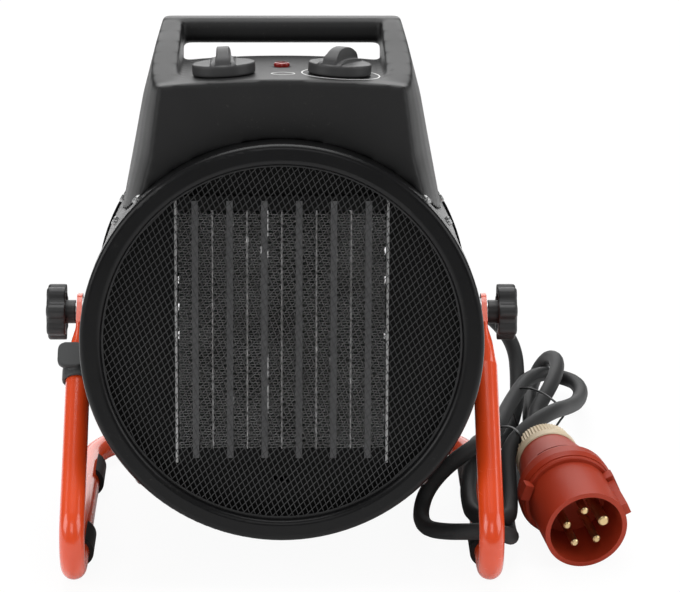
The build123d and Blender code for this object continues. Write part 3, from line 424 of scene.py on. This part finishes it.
# the plug's mouth, how it points (degrees), and how far behind its mouth the nut begins
plugSeat = dict(mouth=(0.1985, -0.079435, 0.02745), pitch=6.0, yaw=10.4, nutPlace=0.0925)


def makeClampNut():
    radius, edge, band = clampNut["radius"], clampNut["edge"], clampNut["bandLength"]
    ribEnd = band + clampNut["ribLength"]
    coneEnd = ribEnd + clampNut["coneLength"]
    # along the axis from its front, and the radius there
    sections = [
        (0.0, radius - edge), (edge, radius), (band - edge, radius), (band, radius - edge),
        (band + clampNut["step"], clampNut["ribRadius"]),
        (ribEnd, clampNut["ribRadius"] - clampNut["ribTaper"]),
        (coneEnd, clampNut["coneEnd"]),
        (coneEnd + clampNut["lip"], clampNut["throat"]), (band, clampNut["throat"]),
    ]
    nut = startPiece("clamping_nut", "circle", vertices=2 * clampNut["ribs"], radius=sections[0][1])
    pickAll()
    for (place, size), (nextPlace, nextSize) in zip(sections, sections[1:]):
        bpy.ops.mesh.extrude_region_move(TRANSFORM_OT_translate={"value": (0, 0, nextPlace - place)})
        grow = nextSize / size
        bpy.ops.transform.resize(value=(grow, grow, 1), center_override=(0, 0, nextPlace))
    margin = clampNut["step"] / 2

    def onRib(place):
        turn = math.atan2(place.y, place.x) / math.tau * 2 * clampNut["ribs"]
        outside = math.hypot(place.x, place.y) > clampNut["throat"] + clampNut["throatWall"]
        return outside and band + margin < place.z < ribEnd + margin and round(turn) % 2 == 0

    pick(nut, onRib)
    bpy.ops.transform.resize(value=(clampNut["groove"], clampNut["groove"], 1), center_override=(0, 0, 0))
    bpy.ops.mesh.select_all(action="SELECT")
    bpy.ops.mesh.normals_make_consistent(inside=False)
    bpy.ops.object.mode_set(mode="OBJECT")
    bpy.ops.object.shade_smooth_by_angle(angle=math.radians(clampNut["smoothAngle"]))
    # its front sits on the back of the plug's handle, its axis along the plug's
    nut.matrix_world = (
        Matrix.Translation(plugSeat["mouth"])
        @ Matrix.Rotation(math.radians(plugSeat["yaw"]), 4, "Z")
        @ Matrix.Rotation(math.radians(plugSeat["pitch"]), 4, "X")
        @ Matrix.Translation((0, plugSeat["nutPlace"], 0)) @ Matrix.Rotation(math.radians(-90), 4, "X")
    )
    settle()
    paint(nut, "nutPlastic")
    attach(nut, "stand")
    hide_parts("plug_nut")


makeClampNut()
print("nut ribbed")

# how cords and ties are drawn: points of each span, and how near two points of the cord's path may lie
lineSteps = 10
pathSpacing = 0.001


def makeLine(name, points, thickness, rings, closed=False):
    # a round line through points in millimetres, still a curve
    lineData = bpy.data.curves.new(name, "CURVE")
    lineData.dimensions = "3D"
    lineData.bevel_resolution = rings
    lineData.bevel_depth = thickness / 2
    spline = lineData.splines.new("NURBS")
    spline.points.add(len(points) - 1)
    for point, (x, y, z) in zip(spline.points, points):
        point.co = (x / 1000, y / 1000, z / 1000, 1.0)
    spline.order_u = 3
    spline.use_cyclic_u = closed
    spline.use_endpoint_u = not closed
    spline.resolution_u = lineSteps
    lineData.use_fill_caps = not closed
    line = bpy.data.objects.new(name, lineData)
    bpy.context.collection.objects.link(line)
    return line


def meshOf(line):
    bpy.context.view_layer.update()
    return bpy.data.meshes.new_from_object(line)


def lineToPiece(line, name):
    piece = bpy.data.objects.new(name, meshOf(line))
    bpy.data.objects.remove(line)
    bpy.context.collection.objects.link(piece)
    return piece


# the cord, from the gland on the rear cover through the tied loops to the plug; millimetres, but metres for
# its length and for the height below which it no longer follows the drum
cord = dict(
    diameter=11.0,
    length=1.743,
    exitPoint=(108.0, 111.7, 117.7),
    route=[
        (108.0, 111.7, 117.7), (108.0, 137.4, 113.7), (111.0, 165.9, 106.0), (128.5, 189.9, 93.0),
        (149.5, 202.9, 75.0), (166.5, 206.9, 57.0), (174.0, 204.9, 42.0), (175.0, 193.9, 28.0),
        (174.0, 177.9, 16.0), (170.5, 157.9, 10.5), (164.0, 131.9, 7.0), (157.0, 109.9, 9.0),
        (149.0, 91.9, 17.0), (141.0, 75.9, 25.5), (134.5, 57.9, 29.0), (131.0, 35.9, 29.0),
        (128.0, 11.9, 27.0), (125.5, -12.1, 26.0), (125.0, -36.1, 27.5), (125.5, -55.1, 28.5),
        (132.0, -64.6, 29.0), (142.5, -64.6, 28.0), (149.5, -55.1, 25.5), (152.0, -36.1, 21.5),
        (153.5, -16.1, 24.0), (153.5, 0.9, 31.0), (154.0, 18.9, 42.0), (165.0, 29.9, 51.0),
        (177.0, 41.9, 55.0), (191.0, 65.9, 52.0), (203.5, 104.9, 38.0), (215.2, 144.0, 26.0),
        (222.2, 185.0, 18.0), (220.5, 212.9, 14.0), (211.5, 224.9, 13.0), (200.0, 223.9, 16.0),
        (194.5, 209.9, 22.0), (180.4, 174.0, 32.0), (172.3, 146.9, 35.0), (162.9, 118.8, 34.0),
        (156.0, 92.7, 34.0), (150.0, 68.5, 35.0), (141.5, 43.9, 39.5), (130.0, 23.9, 41.0),
        (118.0, 14.9, 36.0), (107.0, 11.9, 26.5), (98.5, 7.9, 15.5), (94.5, -4.1, 8.5),
        (94.0, -22.1, 7.0), (98.0, -44.1, 11.5), (109.0, -66.1, 20.0), (119.5, -82.1, 27.5),
        (133.0, -89.6, 31.0), (144.5, -86.1, 28.0), (150.5, -72.1, 19.0), (151.0, -50.1, 10.0),
        (151.5, -22.1, 6.0), (153.5, 11.9, 6.0), (160.5, 45.9, 6.0), (169.0, 77.9, 6.0),
        (179.0, 111.9, 6.0), (181.5, 151.9, 6.5), (184.5, 187.9, 7.0), (187.5, 215.9, 7.5),
        (191.0, 233.9, 6.5), (196.0, 240.9, 15.0), (202.0, 235.9, 25.5), (206.0, 215.9, 31.5),
        (204.0, 187.9, 33.5), (196.0, 158.3, 32.0), (187.8, 139.1, 28.0), (181.7, 124.7, 23.0),
        (183.5, 95.9, 20.0), (182.0, 75.9, 26.0), (178.5, 61.9, 34.5), (175.7, 44.8, 40.7),
        (177.9, 33.1, 39.5),
    ],
    stillBelow=0.045,
)


def makeCord():
    line = makeLine("cordLine", cord["route"], 0.0, 6)
    path = []
    for vertex in meshOf(line).vertices:
        if not path or (vertex.co - Vector(path[-1])).length > pathSpacing:
            path.append(tuple(vertex.co))
    line.data.bevel_depth = cord["diameter"] / 2000
    tube = lineToPiece(line, "mains_cord")
    for face in tube.data.polygons:
        face.use_smooth = True
    paint(tube, "cordRubber")
    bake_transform(tube)
    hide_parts("cord_lead", "cord_inner_strand", "cord_front_loop", "cord_hank", "cord_tail")


makeCord()
print("cord laid")

# the front mesh: two layers of straight strands, each (spacing, slope in degrees), and a flat rim
meshGuard = dict(
    radius=0.1175, strand=0.00046, strandLength=0.24675, place=-0.0923, drop=-0.002, layerStep=0.00046,
    rimInner=0.1135, rimOuter=0.1225, sides=96, cutterDepth=0.02, layers=[(0.0037, 45.0), (0.0032, -69.0)],
)


def makeStrands(number, spacing, slope):
    strand = meshGuard["strand"]
    layer = startPiece("meshLayer", "cube", size=1)
    count = 2 * math.ceil(meshGuard["radius"] / spacing)
    layer.scale = (meshGuard["strandLength"], strand, strand)
    layer.location = (0, 0, -spacing * (count - 1) / 2)
    settle()
    repeat(layer, count, (0, 0, spacing))
    layer.rotation_euler = (0, math.radians(-slope), 0)
    layer.location = (0, meshGuard["place"] + number * meshGuard["layerStep"], meshGuard["drop"])
    settle()
    return layer


def makeMeshGuard():
    layers = [makeStrands(number, *layer) for number, layer in enumerate(meshGuard["layers"])]
    upright = dict(
        vertices=meshGuard["sides"], location=(0, meshGuard["place"], meshGuard["drop"]),
        rotation=(math.radians(90), 0, 0),
    )
    cutter = startPiece(
        "meshCutter", "cylinder", radius=meshGuard["radius"], depth=meshGuard["cutterDepth"], **upright
    )
    for layer in layers:
        bpy.ops.object.select_all(action="DESELECT")
        bpy.context.view_layer.objects.active = layer
        layer.select_set(True)
        modify(layer, "BOOLEAN", operation="INTERSECT", object=cutter, solver="EXACT")
    bpy.data.objects.remove(cutter)
    rim = startPiece("front_guard", "circle", radius=meshGuard["rimInner"], **upright)
    settle(location=False)
    pickAll()
    bpy.ops.mesh.extrude_region_move()
    grow = meshGuard["rimOuter"] / meshGuard["rimInner"]
    bpy.ops.transform.resize(value=(grow, 1, grow))
    modify(rim, "SOLIDIFY", thickness=2 * meshGuard["strand"], offset=0)
    for layer in layers:
        layer.select_set(True)
    bpy.ops.object.join()
    settle()
    intoDrum(rim)
    paint(rim, "meshPaint")
    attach(rim, "heater")
    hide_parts("front_mesh")


makeMeshGuard()
print("mesh woven")


def soften(piece, grid, passes):
    # one even skin over the whole piece, with its corners rounded off
    modify(piece, "REMESH", mode="VOXEL", voxel_size=grid, use_smooth_shade=True)
    modify(piece, "SMOOTH", factor=0.5, iterations=passes)


# moulded pieces with softened corners: each node's body, slot, finish, grid and how many passes soften it
moulded = {
    "top_housing": dict(
        body="heater", slot="housing_plastic", finish="housingPlastic", grid=0.0015, passes=18,
    ),
    "star_knob_right": dict(
        body="clamp_right", slot="knob_plastic", finish="starPlastic", grid=0.0007, passes=5,
    ),
    "star_knob_left": dict(
        body="clamp_left", slot="knob_plastic", finish="starPlastic", grid=0.0007, passes=5,
    ),
    "cord_hook": dict(body="stand", slot="dark_plastic", finish="tongueRubber", grid=0.0006, passes=5),
}


def makeMoulded(node, spec):
    bpy.ops.object.select_all(action="DESELECT")
    piece = bpy.data.objects.new(node + "_moulded", nodes[node].data.copy())
    bpy.context.collection.objects.link(piece)
    bpy.context.view_layer.objects.active = piece
    piece.select_set(True)
    pickAll()
    bpy.ops.mesh.remove_doubles(threshold=weldDistance)
    soften(piece, spec["grid"], spec["passes"])
    paint(piece, spec["finish"])
    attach(piece, spec["body"])
    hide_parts(node)


for nodeName, mouldSpec in moulded.items():
    makeMoulded(nodeName, mouldSpec)
print("mouldings rounded")

# control knobs: a hollow disc with a thin finger grip that widens at its foot; sink is how much of a slab's
# lower half stays below the disc's top, and crestStart the height from which it narrows to its crest
knobShape = dict(
    radius=0.0203, height=0.0072, gap=0.0003, wall=0.0022, edge=0.0008, sides=96, slabSides=64,
    sink=0.12, crestStart=0.6, grid=0.0005, passes=7,
)
knobGrip = [
    dict(halfWidth=0.0048, halfLength=0.0188, height=0.0100, crest=0.82),
    dict(halfWidth=0.0080, halfLength=0.0184, height=0.0028, crest=0.78),
]
# where each knob stands on the deck, its turning axis, and the way its grip points at rest, in degrees
knobs = {
    "thermostat_grip": dict(
        node="thermostat_knob", body="thermostat_control", place=(-0.037, -0.004988, 0.314228),
        axis=(-0.052857, 0.135526, 0.989363), pointer=0,
    ),
    "selector_grip": dict(
        node="selector_knob", body="selector_control", place=(0.037, -0.004988, 0.314228),
        axis=(0.052857, 0.135526, 0.989363), pointer=-24,
    ),
}


def makeGripSlab(spec, top):
    # a half disc on edge, a little narrower at its crest, its flat foot sunk into the knob's disc
    slab = startPiece(
        "gripSlab", "cylinder", vertices=knobShape["slabSides"], radius=1, depth=2,
        rotation=(0, math.radians(90), 0),
    )
    settle()
    slab.scale = (spec["halfWidth"], spec["halfLength"], spec["height"])
    settle()
    pick(slab, lambda place: place.z < -weldDistance)
    bpy.ops.transform.resize(value=(1, 1, knobShape["sink"]), center_override=(0, 0, 0))
    pick(slab, lambda place: place.z > spec["height"] * knobShape["crestStart"])
    bpy.ops.transform.resize(value=(spec["crest"], 1, 1), center_override=(0, 0, 0))
    bpy.ops.object.mode_set(mode="OBJECT")
    slab.location = (0, 0, top)
    settle()
    return slab


def makeKnob(name, spec):
    height, gap, wall = knobShape["height"], knobShape["gap"], knobShape["wall"]
    slabs = [makeGripSlab(slabSpec, height + gap) for slabSpec in knobGrip]
    knob = startPiece(
        name, "cylinder", vertices=knobShape["sides"], radius=knobShape["radius"], depth=height,
        location=(0, 0, gap + height / 2),
    )
    settle()
    pick(knob, lambda place: place.z < height / 2)
    bpy.ops.mesh.select_mode(type="FACE")
    bpy.ops.mesh.inset(thickness=wall)
    bpy.ops.mesh.extrude_region_move(TRANSFORM_OT_translate={"value": (0, 0, height - wall)})
    bpy.ops.mesh.select_mode(type="VERT")
    modify(knob, "BEVEL", width=knobShape["edge"], segments=2, limit_method="ANGLE")
    for slab in slabs:
        slab.select_set(True)
    bpy.ops.object.join()
    soften(knob, knobShape["grid"], knobShape["passes"])
    up = Vector(spec["axis"]).normalized()
    across = Vector((1, 0, 0))
    across = (across - up * across.dot(up)).normalized()
    seat = Matrix((across, up.cross(across), up)).transposed().to_4x4()
    knob.matrix_world = (
        Matrix.Translation(spec["place"]) @ seat @ Matrix.Rotation(math.radians(spec["pointer"]), 4, "Z")
    )
    settle()
    paint(knob, "knobPlastic")
    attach(knob, spec["body"])
    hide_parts(spec["node"])


for knobName, knobSpec in knobs.items():
    makeKnob(knobName, knobSpec)
print("knobs moulded")

# thin printed ovals on the deck: middle, half width, half depth and breadth of the line
deckPrints = {
    "dial_ring": dict(middle=(0.0378, -0.0045), halfWidth=0.0254, halfDepth=0.0256, line=0.0009),
    "deck_oval": dict(middle=(0.0008, -0.0105), halfWidth=0.0078, halfDepth=0.0060, line=0.0009),
}
# each is dropped on the deck from this height and stands this far off it
ink = dict(startHeight=0.35, lift=0.0001, thickness=0.00012, points=96)


def makePrint(name, spec):
    middle = (*spec["middle"], ink["startHeight"])
    ring = startPiece(name, "circle", vertices=ink["points"], radius=1, location=middle)
    ring.scale = (spec["halfWidth"], spec["halfDepth"], 1)
    settle(location=False)
    pickAll()
    bpy.ops.mesh.extrude_region_move()
    shrink = (1 - spec["line"] / spec["halfWidth"], 1 - spec["line"] / spec["halfDepth"], 1)
    bpy.ops.transform.resize(value=shrink, center_override=middle)
    bpy.ops.object.mode_set(mode="OBJECT")
    settle()
    modify(
        ring, "SHRINKWRAP", target=bpy.data.objects["top_housing_moulded"], wrap_method="PROJECT",
        use_project_z=True, use_negative_direction=True, use_positive_direction=False, offset=ink["lift"],
    )
    modify(ring, "SOLIDIFY", thickness=ink["thickness"], offset=0)
    paint(ring, "printInk")
    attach(ring, "heater")


for printName, printSpec in deckPrints.items():
    makePrint(printName, printSpec)
print("deck printed")

# two thin ties round the bundled cord: a closed line through these points, millimetres
ties = {
    "cord_tie_rear": [
        (166.9, 143.0, 35.0), (172.9, 137.4, 40.0), (179.9, 128.1, 43.0), (188.1, 115.1, 44.0),
        (195.1, 91.4, 46.0), (200.0, 85.0, 41.0), (196.5, 92.9, 32.0), (190, 110, 9),
        (180, 120, 2), (168, 135, 14),
    ],
    "cord_tie_front": [
        (150.5, 66.7, 38.0), (154.3, 62.3, 41.0), (158.6, 48.0, 47.0), (160.8, 18.6, 56.0),
        (162.6, 14.1, 52.0), (162.7, 23.7, 42.0), (158, 38, 30), (146, 50, 28),
    ],
}
tieThickness = 0.0016


def makeTie(name, points):
    tie = lineToPiece(makeLine(name + "_line", points, tieThickness, 2, closed=True), name)
    paint(tie, "tiePlastic")
    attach(tie, "stand")


for tieName, tiePoints in ties.items():
    makeTie(tieName, tiePoints)
print("cord tied")

# a pale floor, and air that is white to the camera but dim as a light
studio = dict(
    floorWidth=12, floorColour="f4f4f4", floorShade="efefef", shadeSize=0.4, shadeRange=(0.3, 0.7),
    shadeShare=0.3, floorRough=0.9, floorGlow=0.94, ambient=0.5, reflected=0.1, aim=(0.02, 0.0, 0.15),
)


def makeFloor():
    bpy.ops.mesh.primitive_plane_add(size=studio["floorWidth"], location=(0, 0, 0))
    floor = bpy.context.active_object
    floor.name = "studioFloor"
    finish = Finish("floorPaper")
    shade = finish.noise(studio["shadeSize"]).between(*studio["shadeRange"]) * studio["shadeShare"]
    tone = finish.blend(shade, linear(studio["floorColour"]), linear(studio["floorShade"]))
    paper = finish.add(
        "ShaderNodeBsdfPrincipled", None, {"Base Color": tone, "Roughness": studio["floorRough"]}
    )
    glow = finish.add("ShaderNodeEmission", None, {"Color": (1, 1, 1, 1), "Strength": 1.0})
    rays = finish.add("ShaderNodeLightPath", out="Is Camera Ray")
    mixed = finish.add("ShaderNodeMixShader", None, {0: rays * studio["floorGlow"], 1: paper, 2: glow})
    finish.add("ShaderNodeOutputMaterial", None, {"Surface": mixed})
    floor.data.materials.append(finish.material)


def makeWorld():
    # dim all round, dimmer still in reflections, and white to the camera
    world = bpy.data.worlds.new("studioAir")
    bpy.context.scene.world = world
    world.use_nodes = True
    tree = world.node_tree
    tree.nodes.clear()

    def makeAir(strength):
        air = tree.nodes.new("ShaderNodeBackground")
        air.inputs["Color"].default_value = (1, 1, 1, 1)
        air.inputs["Strength"].default_value = strength
        return air.outputs[0]

    rays = tree.nodes.new("ShaderNodeLightPath")
    output = tree.nodes.new("ShaderNodeOutputWorld")
    air = makeAir(studio["ambient"])
    for rayName, strength in (("Is Glossy Ray", studio["reflected"]), ("Is Camera Ray", 1.0)):
        mixed = tree.nodes.new("ShaderNodeMixShader")
        tree.links.new(rays.outputs[rayName], mixed.inputs[0])
        tree.links.new(air, mixed.inputs[1])
        tree.links.new(makeAir(strength), mixed.inputs[2])
        air = mixed.outputs[0]
    tree.links.new(air, output.inputs["Surface"])


# soft boxes: place, size and power; all face the studio's aim
lamps = {
    "leftBox": dict(place=(-1.5, -0.6, 0.9), size=1.0, power=11),
    "rightBox": dict(place=(1.5, -0.4, 0.8), size=1.0, power=9),
    "topBox": dict(place=(0.0, 0.3, 1.6), size=1.1, power=18),
    "backBox": dict(place=(0.0, 1.9, 1.0), size=1.6, power=20),
    "frontBox": dict(place=(0.0, -1.9, 1.5), size=0.9, power=6.5),
}


def makeLamps():
    for name, spec in lamps.items():
        light = bpy.data.lights.new(name, "AREA")
        light.size = spec["size"]
        light.energy = spec["power"]
        lamp = bpy.data.objects.new(name, light)
        lamp.location = spec["place"]
        towards = Vector(studio["aim"]) - Vector(spec["place"])
        lamp.rotation_euler = towards.to_track_quat("-Z", "Y").to_euler()
        bpy.context.collection.objects.link(lamp)


# the photograph's view: place in metres, tilt in degrees, lens and sensor in millimetres
view = dict(place=(0.0, -1.740135, 0.7975), downTilt=20.1, lens=148.235, sensor=36.0, shift=0.0856)


def makeCamera():
    data = bpy.data.cameras.new("photoView")
    data.lens = view["lens"]
    data.sensor_width = view["sensor"]
    data.shift_x = view["shift"]
    camera = bpy.data.objects.new("photoView", data)
    camera.location = view["place"]
    camera.rotation_euler = (math.radians(90 - view["downTilt"]), 0, 0)
    bpy.context.collection.objects.link(camera)
    bpy.context.scene.camera = camera


makeFloor()
makeWorld()
makeLamps()
makeCamera()
bpy.context.scene.view_settings.view_transform = "Standard"
print("studio ready")
